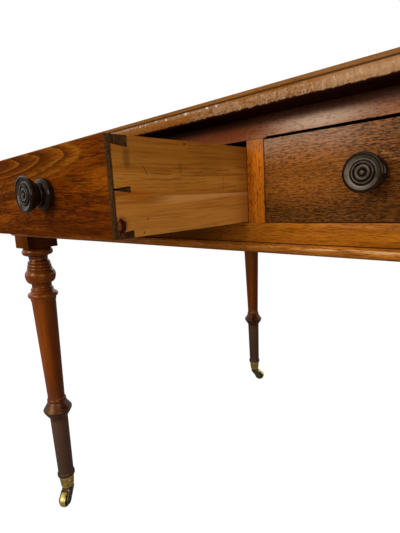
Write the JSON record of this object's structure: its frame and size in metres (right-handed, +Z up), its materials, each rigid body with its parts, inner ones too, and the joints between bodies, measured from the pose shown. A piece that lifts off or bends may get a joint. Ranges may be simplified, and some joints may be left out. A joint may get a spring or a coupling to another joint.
{
  "type": "writing table",
  "caption": "Writing table with a moulded top, drawers side by side in the front, turned legs and brass castors.",
  "frame": {"origin": "on the floor, under the middle of the box round the whole table with its left drawer standing open as stored", "axes": "+X to the right along the front, +Y from the front to the back, +Z up"},
  "size_m": [1.204, 0.984, 0.734],
  "materials": {
    "top_wood": "old french polish, worn along the edge",
    "frame_wood": "polished mahogany",
    "drawer_front_wood": "polished mahogany",
    "leg_wood": "polished turned mahogany, darker below",
    "drawer_pine": "bare aged pine",
    "inner_pine": "bare aged pine",
    "ebonised_wood": "ebonised and polished",
    "brass": "aged brass",
    "screw_steel": "dull iron"
  },
  "bodies": {
    "table": {"top_board_front": "top_wood", "top_board_back": "top_wood", "leg_front_left": "leg_wood", "leg_front_right": "leg_wood", "leg_back_left": "leg_wood", "leg_back_right": "leg_wood", "front_top_rail": "frame_wood", "front_bottom_rail": "frame_wood", "front_divider": "frame_wood", "side_rail_left": "frame_wood", "side_rail_right": "frame_wood", "back_rail": "frame_wood", "bead_front": "frame_wood", "bead_back": "frame_wood", "bead_left": "frame_wood", "bead_right": "frame_wood", "runner_left": "inner_pine", "runner_centre": "inner_pine", "runner_right": "inner_pine", "kicker_left": "inner_pine", "kicker_centre": "inner_pine", "kicker_right": "inner_pine", "guide_left": "inner_pine", "guide_centre": "inner_pine", "guide_right": "inner_pine", "drawer_stops": "inner_pine", "top_buttons": "inner_pine", "top_screws": "screw_steel", "castor_screws": "brass", "cup_front_left": "brass", "cup_front_right": "brass", "cup_back_left": "brass", "cup_back_right": "brass"},
    "left_drawer": {"left_drawer_front": "drawer_front_wood", "left_drawer_side_outer": "drawer_pine", "left_drawer_side_inner": "drawer_pine", "left_drawer_back": "drawer_pine", "left_drawer_bottom": "drawer_pine", "left_knob_outer": "ebonised_wood", "left_knob_inner": "ebonised_wood"},
    "right_drawer": {"right_drawer_front": "drawer_front_wood", "right_drawer_side_outer": "drawer_pine", "right_drawer_side_inner": "drawer_pine", "right_drawer_back": "drawer_pine", "right_drawer_bottom": "drawer_pine", "right_knob_outer": "ebonised_wood", "right_knob_inner": "ebonised_wood"},
    "fork_front_left": {"fork_front_left": "brass", "axle_front_left": "brass"},
    "wheel_front_left": {"wheel_front_left": "brass"},
    "fork_front_right": {"fork_front_right": "brass", "axle_front_right": "brass"},
    "wheel_front_right": {"wheel_front_right": "brass"},
    "fork_back_left": {"fork_back_left": "brass", "axle_back_left": "brass"},
    "wheel_back_left": {"wheel_back_left": "brass"},
    "fork_back_right": {"fork_back_right": "brass", "axle_back_right": "brass"},
    "wheel_back_right": {"wheel_back_right": "brass"}
  },
  "joints": [
    {"name": "left_drawer_slide", "type": "slide", "parent": "table", "child": "left_drawer", "axis": [0, -1, 0], "range_m": [-0.152, 0.19]},
    {"name": "right_drawer_slide", "type": "slide", "parent": "table", "child": "right_drawer", "axis": [0, -1, 0], "range_m": [0, 0.342]},
    {"name": "castor_turn_front_left", "type": "hinge", "parent": "table", "child": "fork_front_left", "pos_m": [-0.5445, -0.2915, 0.036], "axis": [0, 0, 1], "continuous": true},
    {"name": "wheel_spin_front_left", "type": "hinge", "parent": "fork_front_left", "child": "wheel_front_left", "pos_m": [-0.53475, -0.30543, 0.0155], "axis": [0.8192, 0.5736, 0], "continuous": true},
    {"name": "castor_turn_front_right", "type": "hinge", "parent": "table", "child": "fork_front_right", "pos_m": [0.5445, -0.2915, 0.036], "axis": [0, 0, 1], "continuous": true},
    {"name": "wheel_spin_front_right", "type": "hinge", "parent": "fork_front_right", "child": "wheel_front_right", "pos_m": [0.52909, -0.29868, 0.0155], "axis": [0.4226, -0.9063, 0], "continuous": true},
    {"name": "castor_turn_back_left", "type": "hinge", "parent": "table", "child": "fork_back_left", "pos_m": [-0.5445, 0.4345, 0.036], "axis": [0, 0, 1], "continuous": true},
    {"name": "wheel_spin_back_left", "type": "hinge", "parent": "fork_back_left", "child": "wheel_back_left", "pos_m": [-0.52853, 0.44031, 0.0155], "axis": [-0.342, 0.9397, 0], "continuous": true},
    {"name": "castor_turn_back_right", "type": "hinge", "parent": "table", "child": "fork_back_right", "pos_m": [0.5445, 0.4345, 0.036], "axis": [0, 0, 1], "continuous": true},
    {"name": "wheel_spin_back_right", "type": "hinge", "parent": "fork_back_right", "child": "wheel_back_right", "pos_m": [0.53652, 0.44951, 0.0155], "axis": [-0.8829, -0.4695, 0], "continuous": true}
  ]
}
